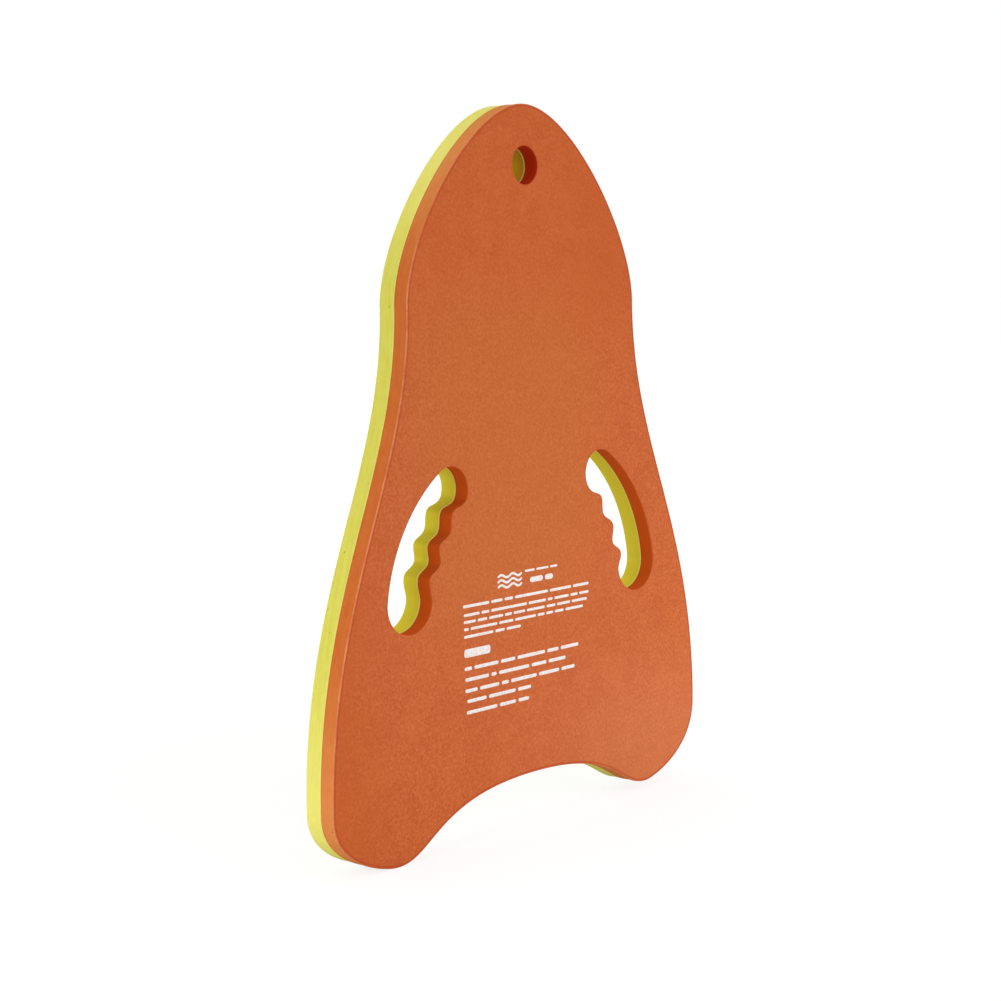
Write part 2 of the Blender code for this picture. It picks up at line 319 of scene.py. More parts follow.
def within(places, rings):
    """Whether each place is inside an odd number of these closed rings."""
    inside = np.zeros(len(places), bool)
    batch = 4000
    for ring in rings:
        tail, head = ring, np.roll(ring, -1, axis=0)
        rise = np.where(head[:, 1] == tail[:, 1], 1e-12, head[:, 1] - tail[:, 1])
        lean = (head[:, 0] - tail[:, 0]) / rise
        for start in range(0, len(places), batch):
            x, z = places[start:start + batch].T[:, :, None]
            spans = (tail[None, :, 1] > z) != (head[None, :, 1] > z)
            cross = tail[None, :, 0] + (z - tail[None, :, 1]) * lean[None, :]
            inside[start:start + batch] ^= np.sum(spans & (cross > x), axis=1) % 2 == 1
    return inside


def fill(rings, spacing):
    """Triangles over the flat area between the board's loops, inset to these
    rings, as (extra points, corner numbers). Ring points are numbered first."""
    border = np.vstack(rings)
    normals = np.vstack([loop.normals for loop in LOOPS])
    tree = kdtree.KDTree(len(border))
    for i, (x, z) in enumerate(border):
        tree.insert((x, z, 0.0), i)
    tree.balance()
    low, high = border.min(axis=0), border.max(axis=0)
    extra = []
    for row, z in enumerate(np.arange(low[1], high[1], spacing * math.sqrt(3) / 2)):
        for x in np.arange(low[0] + (row % 2) * spacing / 2, high[0], spacing):
            near, index, distance = tree.find((x, z, 0.0))
            side = (x - near.x) * normals[index, 0] + (z - near.y) * normals[index, 1]
            if side < 0 and distance > 0.62 * spacing:
                extra.append((x, z))
    extra = np.array(extra)
    points = np.vstack([border, extra])
    edges = []
    for ring in rings:
        edges += ring_edges(len(ring), first=len(edges))
    triangles = triangulate(points, edges, tolerance=1e-7)
    # A triangle with an extra point is in the foam. The rest, between border
    # points only, may also bridge a cutout or a hollow of the outline.
    only_border = (triangles < len(border)).all(axis=1)
    keep = ~only_border
    keep[only_border] = within(points[triangles[only_border]].mean(axis=1), rings)
    return extra, triangles[keep]


def at_y(points, y):
    """Plane points as 3D ones, at one y or at one for each point."""
    return np.insert(points, 1, y, axis=1)


class Shell:
    """A closed mesh in the making: bands of quads, each later capped at its
    first and last ring."""

    def __init__(self):
        self.vertices, self.faces = [], []
        self.first_rings, self.last_rings = [], []

    def band(self, rings, reverse=False):
        """Quads through rings of equally many points."""
        count, start = len(rings[0]), len(self.vertices)
        for ring in rings:
            self.vertices += ring.tolist()
        for k in range(len(rings) - 1):
            here = start + k * count
            there = here + count
            for i in range(count):
                j = (i + 1) % count
                quad = (here + i, here + j, there + j, there + i)
                self.faces.append(quad[::-1] if reverse else quad)
        self.first_rings.append(np.arange(start, start + count))
        self.last_rings.append(np.arange(start, start + count) + (len(rings) - 1) * count)

    def cap(self, rings, spacing, y_at, reverse):
        """Fill between rings of vertices. y_at gives the y of the extra points,
        which are returned."""
        flat = [np.array([self.vertices[i] for i in ring])[:, ::2] for ring in rings]
        extra, triangles = fill(flat, spacing)
        start = len(self.vertices)
        numbers = np.r_[np.concatenate(rings), np.arange(start, start + len(extra))]
        self.vertices += at_y(extra, y_at(extra)).tolist()
        corners = numbers[triangles]
        self.faces += (corners[:, ::-1] if reverse else corners).tolist()
        return extra


def new_object(name, vertices, faces, attributes=None, datum=DATUM):
    mesh = bpy.data.meshes.new(name)
    placed = np.asarray(vertices, float) + (datum[0], 0.0, datum[1])
    mesh.from_pydata(placed.tolist(), [], faces)
    for title, values in (attributes or {}).items():
        values = np.asarray(values, np.float32)
        kind, field = ("FLOAT_VECTOR", "vector") if values.ndim == 2 else ("FLOAT", "value")
        layer = mesh.attributes.new(title, kind, "POINT")
        layer.data.foreach_set(field, values.ravel())
    mesh.validate()
    mesh.shade_smooth()
    made = bpy.data.objects.new(name, mesh)
    bpy.context.scene.collection.objects.link(made)
    return made


def sheet_rows(thickness):
    """The cross-section at a sheet's edge, from the outside face over the arris
    and down the wall to the bonded face: (inset, depth, cut, rim). Rows on the
    face have no depth of their own."""
    rows = [(inset * MM, None, 0.0, inset * MM) for inset in (3.4, 2.8, 2.3, 1.9, 1.55, 1.25)]
    arris_steps, wall_steps, bond_steps = 6, 9, 3
    for i in range(arris_steps + 1):
        angle = math.pi / 2 * i / arris_steps
        rows.append((ARRIS * (1 - math.sin(angle)), ARRIS * (1 - math.cos(angle)),
                     i / arris_steps, ARRIS * (1 - i / arris_steps)))
    last = thickness - BOND_ARRIS
    for i in range(1, wall_steps + 1):
        rows.append((0.0, ARRIS + (last - ARRIS) * i / wall_steps, 1.0, 0.0))
    for i in range(1, bond_steps + 1):
        angle = math.pi / 2 * i / bond_steps
        rows.append((BOND_ARRIS * (1 - math.cos(angle)), last + BOND_ARRIS * math.sin(angle),
                     1.0, 0.0))
    rows.append((1.2 * MM, thickness, 1.0, 0.0))
    return rows


def foam_sheet(name, outer_y, bonded_y, seed):
    """One foam sheet as a closed mesh. Its attributes tell the material where
    the walls are (cut), how far a face point is from the edge (rim), how
    enclosed a wall is (shelter), and where along the edge it is (edge_run)."""
    inward = 1.0 if bonded_y > outer_y else -1.0
    thickness = abs(bonded_y - outer_y)
    shell = Shell()
    attributes = {"cut": [], "rim": [], "shelter": [], "edge_run": []}

    def note(places, y, **values):
        for title, value in values.items():
            attributes[title] += [value] * len(places)
        attributes["edge_run"] += at_y(places, y - outer_y)[:, [0, 2, 1]].tolist()

    for number, loop in enumerate(LOOPS):
        waver = edge_waver(loop, seed + 10 * number)
        rings = []
        for inset, depth, cut, rim in sheet_rows(thickness):
            distance = np.full(loop.count, inset)
            if depth is None:
                points = loop.inset(distance)
                level = min(1.0, (inset - ARRIS) / FACE_BLEND) * face_depth(points, seed)
            else:
                # The wall hollows between its two edges and wanders along them.
                down = min(1.0, max(0.0, (depth - ARRIS) / (thickness - BOND_ARRIS - ARRIS)))
                distance += WALL_BOW * math.sin(math.pi * down)
                if inset < ARRIS:
                    distance += waver * min(1.0, depth / ARRIS)
                points = loop.inset(distance)
                level = depth
            y = outer_y + inward * level
            rings.append(at_y(points, y))
            note(loop.turn(), y, cut=cut, rim=rim, shelter=loop.shelter)
        shell.band(rings, reverse=(not loop.is_hole) ^ (inward < 0))

    def skin_y(points):
        return outer_y + inward * face_depth(points, seed)

    def hidden_y(points):
        return outer_y + inward * thickness

    extra = shell.cap(shell.first_rings, FACE_STEP, skin_y, reverse=inward < 0)
    note(extra, skin_y(extra), cut=0.0, rim=DEEP_RIM, shelter=0.0)
    extra = shell.cap(shell.last_rings, HIDDEN_STEP, hidden_y, reverse=inward > 0)
    note(extra, hidden_y(extra), cut=1.0, rim=0.0, shelter=0.0)
    return new_object(name, shell.vertices, shell.faces, attributes)


def glue_film(name, near_y, far_y):
    """The adhesive between the sheets. Only its rim shows, a little recessed
    and slightly bulged."""
    middle, half = (near_y + far_y) / 2, (far_y - near_y) / 2
    rows = [(1.0 * MM, -1.0)]       # (inset, share of the half thickness)
    for i in range(7):
        angle = math.pi * (i / 6 - 0.5)
        rows.append((GLUE_RECESS + GLUE_BULGE * (1 - math.cos(angle)), math.sin(angle)))
    rows.append((1.0 * MM, 1.0))
    shell = Shell()
    for number, loop in enumerate(LOOPS):
        squeeze = edge_waver(loop, GLUE_SEED + 10 * number)
        shell.band([at_y(loop.inset(inset + squeeze), middle + half * share)
                    for inset, share in rows], reverse=not loop.is_hole)
    shell.cap(shell.first_rings, HIDDEN_STEP, lambda points: middle - half, reverse=False)
    shell.cap(shell.last_rings, HIDDEN_STEP, lambda points: middle + half, reverse=True)
    return new_object(name, shell.vertices, shell.faces)


# -------------------------------------------------------------------- materials
PEBBLE = 1.75 * MM              # size of the pebbles on the skin


def shaded(colour, factor):
    return tuple(factor * channel for channel in colour)


class Nodes:
    """Short names for building a material's node tree."""

    def __init__(self, title, colour):
        self.material = bpy.data.materials.new(title)
        self.material.use_nodes = True
        self.material.diffuse_color = (*colour, 1.0)
        self.tree = self.material.node_tree
        self.shader = self.tree.nodes["Principled BSDF"]
        self.place = self.new("ShaderNodeTexCoord").outputs["Object"]

    def new(self, kind, **settings):
        node = self.tree.nodes.new(kind)
        for key, value in settings.items():
            setattr(node, key, value)
        return node

    def put(self, socket, value):
        if isinstance(value, bpy.types.NodeSocket):
            self.tree.links.new(value, socket)
        else:
            socket.default_value = value

    def surface(self, **values):
        """Set shader inputs. An underscore stands for a space."""
        for title, value in values.items():
            self.put(self.shader.inputs[title.replace("_", " ")], value)

    def attribute(self, title, output="Fac"):
        return self.new("ShaderNodeAttribute", attribute_name=title).outputs[output]

    def split(self, vector):
        """The x, y and z of a vector."""
        node = self.new("ShaderNodeSeparateXYZ")
        self.put(node.inputs[0], vector)
        return node.outputs

    def noise(self, size, detail=2.0, roughness=0.5, at=None):
        """Noise whose features are about this size, in metres."""
        node = self.new("ShaderNodeTexNoise")
        self.put(node.inputs["Vector"], self.place if at is None else at)
        node.inputs["Scale"].default_value = 1.0 / size
        node.inputs["Detail"].default_value = detail
        node.inputs["Roughness"].default_value = roughness
        return node.outputs["Fac"]

    def cells(self, size, smoothness=None):
        """Distance from the middles of cells about this size, in metres."""
        node = self.new("ShaderNodeTexVoronoi",
                        feature="F1" if smoothness is None else "SMOOTH_F1")
        self.put(node.inputs["Vector"], self.place)
        node.inputs["Scale"].default_value = 1.0 / size
        if smoothness is not None:
            node.inputs["Smoothness"].default_value = smoothness
        return node.outputs["Distance"]

    def math(self, operation, first, second=0.0):
        node = self.new("ShaderNodeMath", operation=operation)
        self.put(node.inputs[0], first)
        self.put(node.inputs[1], second)
        return node.outputs["Value"]

    def add(self, first, second):
        return self.math("ADD", first, second)

    def times(self, first, second):
        return self.math("MULTIPLY", first, second)

    def ramp(self, value, over, to=(0.0, 1.0), smooth=False):
        """Carry a value from one span to another, held at the ends."""
        node = self.new("ShaderNodeMapRange",
                        interpolation_type="SMOOTHSTEP" if smooth else "LINEAR")
        self.put(node.inputs["Value"], value)
        for title, number in zip(("From Min", "From Max", "To Min", "To Max"), (*over, *to)):
            node.inputs[title].default_value = number
        return node.outputs["Result"]

    def mix(self, amount, first, second, blend="MIX", kind="RGBA"):
        """Mix two colours, or two numbers if the kind is VALUE."""
        node = self.new("ShaderNodeMix", data_type="FLOAT" if kind == "VALUE" else kind,
                        blend_type=blend)
        self.put(node.inputs["Factor"], amount)
        sockets = [s for s in node.inputs if s.name in ("A", "B") and s.type == kind]
        for socket, value in zip(sockets, (first, second)):
            self.put(socket, (*value, 1.0) if isinstance(value, tuple) else value)
        return [s for s in node.outputs if s.type == kind][0]

    def bump(self, height, distance, strength):
        node = self.new("ShaderNodeBump")
        self.put(node.inputs["Height"], height)
        node.inputs["Distance"].default_value = distance
        node.inputs["Strength"].default_value = strength
        return node.outputs["Normal"]


class Foam(Nodes):
    """Closed-cell foam: a pebbled skin on the faces, and finer cut cells with
    faint streaks along the edge on the walls."""

    def __init__(self, title, look):
        super().__init__(title, look.skin)
        self.look = look
        self.cut = self.attribute("cut")
        self.rim = self.attribute("rim")
        self.shelter = self.attribute("shelter")
        self.open_edge = self.ramp(self.shelter, over=(0.0, 0.25), to=(1.0, 0.0))
        self.x, self.y, self.z = self.split(self.place)
        # Skin
        self.pebble = self.cells(PEBBLE, smoothness=0.7)
        self.fine = self.noise(1.5 * MM, detail=3.0, roughness=0.6)
        self.patch = self.noise(16 * MM, detail=3.0, roughness=0.55)
        self.grain = self.add(self.times(self.pebble, 0.45), self.times(self.fine, 0.75))
        # Wall
        stretch = self.new("ShaderNodeMapping")
        self.put(stretch.inputs["Vector"], self.attribute("edge_run", output="Vector"))
        stretch.inputs["Scale"].default_value = (1 / 14.0, 1 / 14.0, 1.0)
        self.streak = self.noise(1.3 * MM, at=stretch.outputs["Vector"])
        self.cell = self.noise(0.7 * MM, roughness=0.65)
        self.pore = self.ramp(self.cells(3.1 * MM), over=(0.10, 0.17), to=(1.0, 0.0), smooth=True)

    def grained(self, low, high):
        return self.mix(self.ramp(self.grain, over=(0.42, 0.78)), low, high)

    def mottled(self, colour):
        return self.grained(shaded(colour, 0.93), shaded(colour, 1.07))

    def skin(self):
        """Pebbles on slow shade changes."""
        look, patch = self.look, self.patch
        broad = self.noise(110 * MM, detail=1.0)
        colour = self.grained(look.skin_dark, look.skin_light)
        colour = self.mix(self.ramp(patch, over=(0.34, 0.50), to=(0.32, 0.0)),
                          colour, look.skin_dark)
        colour = self.mix(self.ramp(patch, over=(0.50, 0.66), to=(0.0, 0.32)),
                          colour, look.skin_light)
        return self.mix(self.ramp(broad, over=(0.35, 0.65), to=(0.0, 0.10)),
                        colour, look.skin_dark)

    def painted_light(self, colour):
        """Painted light over the face: painted shade at the nose, the left margin and the upper
        right, a painted sheen in the middle, and painted light on the tail's right.
        """
        look, x, z = self.look, self.x, self.z

        def smooth(value, start, end, to=(0.0, 1.0)):
            return self.ramp(value, over=(start * MM, end * MM), to=to, smooth=True)

        # The nose is painted darker and redder: painted shade.
        high = self.mix(self.ramp(self.patch, over=(0.36, 0.64), to=(0.0, 0.30)),
                        self.mottled(look.high), look.skin_light)
        colour = self.mix(smooth(z, 270, 360, to=(0.0, 0.75)), colour, high)
        # The middle of the face is paler and browner: a painted sheen.
        off_x = self.math("ABSOLUTE", self.add(x, 15 * MM))
        off_z = self.math("ABSOLUTE", self.math("SUBTRACT", z, 235 * MM))
        middle = self.times(smooth(off_x, 40, 120, to=(1.0, 0.0)),
                            smooth(off_z, 50, 150, to=(1.0, 0.0)))
        sheen_colour = self.mix(1.0, self.mottled(look.skin), look.fade, blend="MULTIPLY")
        colour = self.mix(self.times(middle, 0.75), colour, sheen_colour)
        # The left margin and the upper right share the nose's painted shade.
        left = self.times(smooth(off_x, 100, 150, to=(0.0, 0.60)), smooth(x, 20, -60))
        upper_right = self.times(smooth(z, 290, 350, to=(0.0, 0.60)), smooth(x, 20, 70))
        colour = self.mix(self.math("MAXIMUM", left, upper_right), colour, look.high)
        # The tail pales towards the right: painted light.
        tail = self.times(smooth(z, 125, 30), smooth(x, -60, 130))
        return self.mix(self.times(tail, 0.30), colour, look.arris)

    def rim_line(self, colour):
        """A darker line a millimetre or so in from the edges, strongest on the outline: painted
        shade.
        """
        near = self.times(self.ramp(self.rim, over=(0.80 * MM, 1.10 * MM)),
                          self.ramp(self.rim, over=(1.5 * MM, 2.4 * MM), to=(1.0, 0.0),
                                    smooth=True))
        amount = self.times(near, self.ramp(self.open_edge, over=(0.0, 1.0), to=(0.10, 0.80)))
        return self.mix(amount, colour, self.look.rim_tint)

    def wall(self):
        """Fine cut cells, streaks along the edge and a few open pores, with painted light and
        shade laid over them.
        """
        look, shelter = self.look, self.shelter
        blotch = self.noise(7 * MM)
        shade = self.add(self.times(self.streak, 0.5),
                         self.add(self.times(self.cell, 0.25), self.times(blotch, 0.25)))
        colour = self.mix(self.ramp(shade, over=(0.38, 0.62)), look.wall_dark, look.wall)
        colour = self.mix(self.times(self.pore, 0.30), colour, look.wall_dark)
        # Paler towards the tail and at the nose: painted light.
        lit_ends = self.add(
            self.ramp(self.z, over=(140 * MM, 30 * MM), to=(0.0, 0.54), smooth=True),
            self.ramp(self.z, over=(340 * MM, 425 * MM), to=(0.0, 0.58), smooth=True))
        lit_ends = self.times(lit_ends, self.ramp(blotch, over=(0.30, 0.60), to=(0.85, 1.0)))
        colour = self.mix(lit_ends, colour, look.rubbed_wall)
        # A few small dark specks, wide apart.
        speck = self.ramp(self.cells(14 * MM), over=(0.035, 0.055), to=(0.55, 0.0))
        colour = self.mix(speck, colour, shaded(look.wall_dark, 0.35))
        # The slots' walls are painted darker and deeper in colour, and the hole's more so: painted
        # shade in the recesses.
        slot = self.mix(self.ramp(shade, over=(0.36, 0.64), to=(0.0, 0.16)),
                        look.slot_wall, look.wall_dark)
        hole = self.mix(self.ramp(shade, over=(0.36, 0.64), to=(0.0, 0.10)),
                        look.hole_wall, look.wall_dark)
        colour = self.mix(self.ramp(shelter, over=(0.0, 0.5)), colour, slot)
        colour = self.mix(self.ramp(shelter, over=(0.5, 1.0)), colour, hole)
        # In the slots, the flanks that face up between the finger ridges are painted darker:
        # painted shade, set by the way the surface faces.
        facing = self.split(self.new("ShaderNodeNewGeometry").outputs["Normal"])["Z"]
        flank_shade = self.times(self.ramp(shelter, over=(0.1, 0.4)),
                          self.ramp(shelter, over=(0.6, 0.9), to=(1.0, 0.0)))
        flank_shade = self.times(flank_shade, self.ramp(facing, over=(0.10, 0.80), to=(0.0, 0.50), smooth=True))
        flank_shade = self.times(flank_shade, self.ramp(self.z, over=(138 * MM, 160 * MM)))
        colour = self.mix(flank_shade, colour, shaded(look.slot_wall, 0.60))
        # Beside the glue line the orange wall takes a darker joint tint and the yellow wall a
        # paler one, a painted highlight.
        beside = self.ramp(self.y, over=look.bond_over, to=(0.0, look.bond_amount), smooth=True)
        beside = self.times(beside, self.ramp(shelter, over=(0.0, 0.4), to=(0.45, 1.0)))
        return self.mix(beside, colour, look.bond_tint)

    def arris_highlight(self, colour):
        """The rounded arris is painted paler, a painted highlight, uneven and weaker at nose and
        tail.
        """
        # worn is the mask of this painted highlight.
        worn = self.times(self.ramp(self.cut, over=(0.05, 0.35), smooth=True),
                          self.ramp(self.rim, over=(0.02 * MM, 0.22 * MM), smooth=True))
        for value, over, to in (
                (self.fine, (0.30, 0.62), (0.55, 1.0)),
                (self.patch, (0.36, 0.60), (0.35, 1.0)),
                (self.z, (330 * MM, 375 * MM), (1.0, 0.40)),
                (self.z, (60 * MM, 110 * MM), (0.45, 1.0)),
                (self.open_edge, (0.0, 1.0), (0.30, 0.90))):
            worn = self.times(worn, self.ramp(value, over, to))
        highlight_colour = tuple(min(1.0, channel * 1.06 + 0.035) for channel in self.look.arris)
        return self.mix(worn, colour, highlight_colour)

    def height(self):
        skin = self.add(self.times(self.pebble, -0.6), self.fine)
        wall = self.math("SUBTRACT", self.add(self.cell, self.times(self.streak, 0.35)),
                         self.times(self.pore, 0.6))
        return self.mix(self.cut, skin, wall, kind="VALUE")


def foam_material(title, **look):
    foam = Foam(title, SimpleNamespace(**look))
    face = foam.rim_line(foam.painted_light(foam.skin()))
    on_wall = foam.ramp(foam.cut, over=(0.25, 0.75), smooth=True)
    foam.surface(
        Base_Color=foam.arris_highlight(foam.mix(on_wall, face, foam.wall())),
        Roughness=foam.mix(foam.cut, foam.ramp(foam.grain, over=(0.4, 0.8), to=(0.66, 0.55)),
                           foam.ramp(foam.cell, over=(0.3, 0.7), to=(0.80, 0.90)), kind="VALUE"),
        Specular_IOR_Level=foam.mix(
            foam.cut, foam.ramp(foam.grain, over=(0.4, 0.8), to=(0.14, 0.24)), 0.06, kind="VALUE"),
        Normal=foam.bump(foam.height(), distance=0.16 * MM, strength=0.55))
    return foam.material


def adhesive_material(title, colour, dark):
    nodes = Nodes(title, colour)
    bead = nodes.noise(3.5 * MM, detail=3.0, roughness=0.6)
    fine = nodes.noise(0.8 * MM)
    nodes.surface(
        Base_Color=nodes.mix(nodes.ramp(bead, over=(0.35, 0.65)), dark, colour),
        Roughness=nodes.ramp(fine, over=(0.3, 0.7), to=(0.38, 0.60)),
        Normal=nodes.bump(nodes.add(bead, fine), distance=0.08 * MM, strength=0.5))
    return nodes.material


def ink_material(title, ink, thin):
    """Printed ink on a pebbled skin, thinner in small patches."""
    nodes = Nodes(title, ink)
    pebble = nodes.cells(PEBBLE, smoothness=0.7)
    fine = nodes.noise(0.75 * MM, detail=3.0, roughness=0.65)
    worn = nodes.add(nodes.times(pebble, 0.35), fine)
    height = nodes.add(nodes.times(pebble, -0.6), fine)
    nodes.surface(
        Base_Color=nodes.mix(nodes.ramp(worn, over=(0.60, 0.88), to=(0.0, 0.55)), ink, thin),
        Roughness=nodes.ramp(fine, over=(0.3, 0.7), to=(0.42, 0.60)),
        Specular_IOR_Level=0.4,
        Normal=nodes.bump(height, distance=0.10 * MM, strength=0.5))
    return nodes.material


# Colours are linear RGB. "bond_over" is the run of y over which the wall takes on its colour
# beside the glue line, and the sheen tint multiplies the skin's colour. Painted light and shade
# among them: "high" is painted shade on the nose; the sheen tint is a painted sheen; the arris
# colour is a painted highlight, also painted light on the tail; the rim colour is painted shade;
# the slot and hole wall colours are painted shade in the recesses; the walls' pale colour is
# painted light at tail and nose; the colour beside the glue line is a darker joint on the orange
# and a painted highlight on the yellow.
ORANGE = foam_material(
    "orange_foam",
    skin=(0.560, 0.120, 0.024), skin_dark=(0.505, 0.094, 0.016), skin_light=(0.615, 0.144, 0.032),
    high=(0.550, 0.101, 0.014), wall=(0.640, 0.165, 0.036), wall_dark=(0.575, 0.132, 0.025),
    slot_wall=(0.628, 0.093, 0.006), hole_wall=(0.490, 0.026, 0.002),
    rubbed_wall=(0.800, 0.330, 0.095),
    arris=(0.700, 0.245, 0.100), rim_tint=(0.480, 0.062, 0.012), fade=(1.0, 1.12, 0.98),
    bond_over=(-2.4 * MM, -1.4 * MM), bond_tint=(0.420, 0.070, 0.008), bond_amount=0.45)
YELLOW = foam_material(
    "yellow_foam",
    skin=(0.730, 0.700, 0.130), skin_dark=(0.680, 0.640, 0.098), skin_light=(0.780, 0.755, 0.170),
    high=(0.715, 0.680, 0.120), wall=(0.735, 0.695, 0.122), wall_dark=(0.670, 0.618, 0.090),
    slot_wall=(0.772, 0.684, 0.043), hole_wall=(0.540, 0.305, 0.008),
    rubbed_wall=(0.930, 0.870, 0.235),
    arris=(0.810, 0.785, 0.230), rim_tint=(0.640, 0.590, 0.080), fade=(1.02, 1.01, 1.0),
    bond_over=(0.35 * MM, -0.25 * MM), bond_tint=(0.860, 0.800, 0.220), bond_amount=0.70)
ADHESIVE = adhesive_material("clear_adhesive", colour=(0.42, 0.22, 0.055),
                             dark=(0.30, 0.14, 0.030))
INK = ink_material("white_ink", ink=(0.86, 0.85, 0.83), thin=(0.72, 0.36, 0.24))


# -------------------------------------------------------------------- the foams
def finish_piece(piece, material, slot, *replaced):
    piece.data.materials.append(material)
    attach(piece, "root")
    if replaced:
        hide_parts(*replaced)


glue_front, glue_back = BOND_Y - GLUE_LINE / 2, BOND_Y + GLUE_LINE / 2
finish_piece(foam_sheet("front_foam_sheet_surface", FRONT_Y, glue_front - GLUE_CLEARANCE,
                        FRONT_SEED),
             ORANGE, "orange_foam", "front_foam_sheet")
finish_piece(glue_film("bond_film_surface", glue_front, glue_back),
             ADHESIVE, "clear_adhesive", "bond_film")
finish_piece(foam_sheet("back_foam_sheet_surface", BACK_Y, glue_back + GLUE_CLEARANCE,
                        BACK_SEED),
             YELLOW, "yellow_foam", "back_foam_sheet")


# ------------------------------------------------------------------- the print
# Printed outlines are in millimetres, counter-clockwise.
INK_STEP = 0.45 * MM            # point spacing round a printed shape
INK_SUNK = 0.05 * MM
INK_PROUD = 0.035 * MM
INK_BEVEL = 0.05 * MM
INK_RAGGED = 0.05 * MM          # unevenness of the printed edge


def rounded_bar(x0, x1, z0, z1, radius=math.inf):
    """A bar with round corners, or with round ends if no radius is given."""
    radius = min(radius, min(x1 - x0, z1 - z0) / 2)
    corners = ((x1 - radius, z1 - radius), (x0 + radius, z1 - radius),
               (x0 + radius, z0 + radius), (x1 - radius, z0 + radius))
    return [polar(corner, radius, (turn + i / 6) * math.pi / 2)
            for turn, corner in enumerate(corners) for i in range(7)]


def wave_stroke(x0, x1, z, rise, waves, width):
    """A wavy stroke of even width with round ends."""
    shares = [i / 72 for i in range(73)]
    line = np.array([(x0 + (x1 - x0) * share, z + rise * math.sin(2 * math.pi * waves * share))
                     for share in shares])
    along = np.gradient(line, axis=0)
    along /= np.linalg.norm(along, axis=1)[:, None]
    side = np.c_[-along[:, 1], along[:, 0]] * width / 2

    def end_cap(index, quarter_turn):
        start = math.atan2(along[index, 1], along[index, 0]) + quarter_turn
        return [polar(line[index], width / 2, start + math.pi * i / 8) for i in range(1, 8)]

    lower = [tuple(point) for point in line - side]
    upper = [tuple(point) for point in (line + side)[::-1]]
    return lower + end_cap(-1, -math.pi / 2) + upper + end_cap(0, math.pi / 2)


def printed(name, outlines):
    """Flat inked shapes that lie on the front skin and follow it, each a closed
    solid sunk a little into the foam."""
    shell = Shell()
    for outline in outlines:
        edge = Loop(np.array(outline) * MM, INK_STEP, least=24)
        x, z = edge.points.T
        edge.points = edge.inset(-INK_RAGGED * lattice_noise(x, z, cell=0.8 * MM, seed=901))
        rings = []
        for inset, proud in ((0.0, -INK_SUNK), (0.0, INK_PROUD * 0.4), (INK_BEVEL, INK_PROUD)):
            points = edge.inset(inset)
            rings.append(at_y(points, FRONT_Y + face_depth(points, FRONT_SEED) - proud))
        shell.band(rings)
        for numbers, inset, order in ((shell.last_rings[-1], INK_BEVEL, 1),
                                      (shell.first_rings[-1], 0.0, -1)):
            flat = edge.inset(inset)
            triangles = triangulate(flat, ring_edges(edge.count), tolerance=1e-8)
            triangles = triangles[within(flat[triangles].mean(axis=1), [flat])]
            shell.faces += numbers[triangles][:, ::order].tolist()
    piece = new_object(name, shell.vertices, shell.faces)
    piece.data.set_sharp_from_angle(angle=math.radians(50))
    finish_piece(piece, INK, "white_ink")


def rules(*table):
    """Printed rules broken into dashes. Each row of the table is left x, right
    x, bottom z, top z, the gap between dashes, and their relative lengths."""
    made = []
    for x0, x1, z0, z1, gap, lengths in table:
        room = (x1 - x0) - gap * (len(lengths) - 1)
        x = x0
        for share in lengths:
            length = room * share / sum(lengths)
            made.append(rounded_bar(x, x + length, z0, z1))
            x += length + gap
    return made


printed("printed_wave_mark", [
    wave_stroke(-30.2, -8.8, z, rise=0.95, waves=2, width=1.5) for z in (160.6, 157.4, 154.2)])
printed("printed_title_rules", rules(
    (-0.7, 21.5, 153.6, 157.0, 2.0, (8, 5)),
    (-5.5, 26.0, 160.8, 162.2, 1.6, (4, 5, 3))))
printed("printed_upper_rules", rules(
    (-62.5, 57.0, 145.3, 147.1, 1.8, (9, 4, 3, 12, 8, 6)),
    (-62.0, 57.0, 139.9, 141.6, 1.7, (6, 3, 14, 7, 2, 6, 3, 4)),
    (-62.0, 55.0, 135.6, 137.3, 1.7, (5, 4, 6, 3, 5, 8, 4, 6, 7)),
    (-62.0, 51.0, 131.2, 132.9, 1.7, (2, 11, 6, 9, 3, 3, 4, 8)),
    (-62.0, -10.0, 126.6, 128.3, 1.7, (12, 4, 6))))
printed("printed_lower_rules", [rounded_bar(-62.0, -38.5, 114.6, 119.8, radius=1.6)] + rules(
    (-62.0, 46.0, 106.6, 108.8, 2.2, (3, 10, 6, 12, 5, 8)),
    (-61.5, 33.0, 99.8, 102.0, 2.2, (9, 2, 12, 6, 7)),
    (-61.6, 42.0, 92.9, 95.1, 2.2, (5, 8, 3, 11, 9, 6)),
    (-60.0, -1.0, 86.4, 88.6, 2.2, (7, 10, 5)),
    (-60.8, -3.0, 79.4, 81.6, 2.2, (11, 6, 4))))


# ---------------------------------------------------------- floor, light, camera
WHITE = (1.0, 1.0, 1.0, 1.0)
TARGET = Vector((0.0, 0.0, 0.22))   # what the large softboxes face


